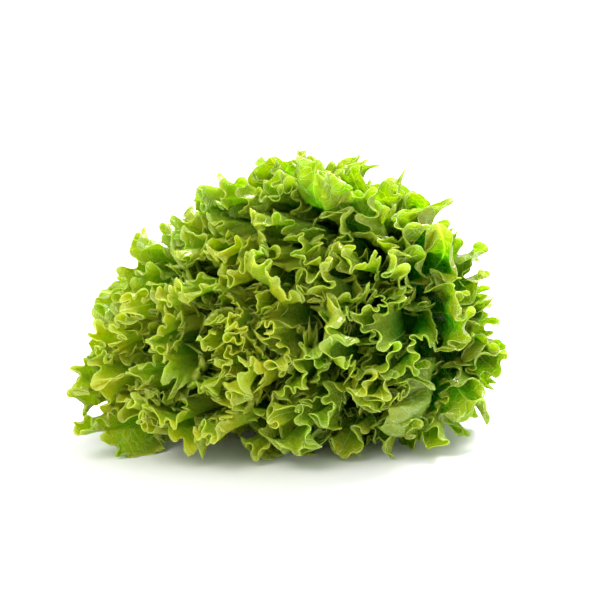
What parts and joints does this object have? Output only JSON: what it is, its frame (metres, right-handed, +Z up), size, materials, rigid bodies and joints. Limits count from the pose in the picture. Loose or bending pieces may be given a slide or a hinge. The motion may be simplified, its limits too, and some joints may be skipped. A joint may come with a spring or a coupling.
{
  "type": "head of lettuce",
  "caption": "Head of green batavia lettuce with frilled, lobed leaves, cut at the stem and lying on its side with its crown to the front left",
  "frame": {"origin": "on the surface that the head lies on, under the middle of the head", "axes": "+Z up, +X along the head's widest side with the cut stem towards +X and +Y, -Y the front that the crown faces"},
  "size_m": [0.3094, 0.2288, 0.1959],
  "materials": {
    "leaf": "fresh moist lettuce leaf, bright yellow green with a pale rim and pale veins, softly glossy",
    "stem": "pale green white cut stem, moist on its cut face"
  },
  "bodies": {
    "root": {"leaf_head": "leaf", "cut_stem": "stem"}
  },
  "joints": []
}
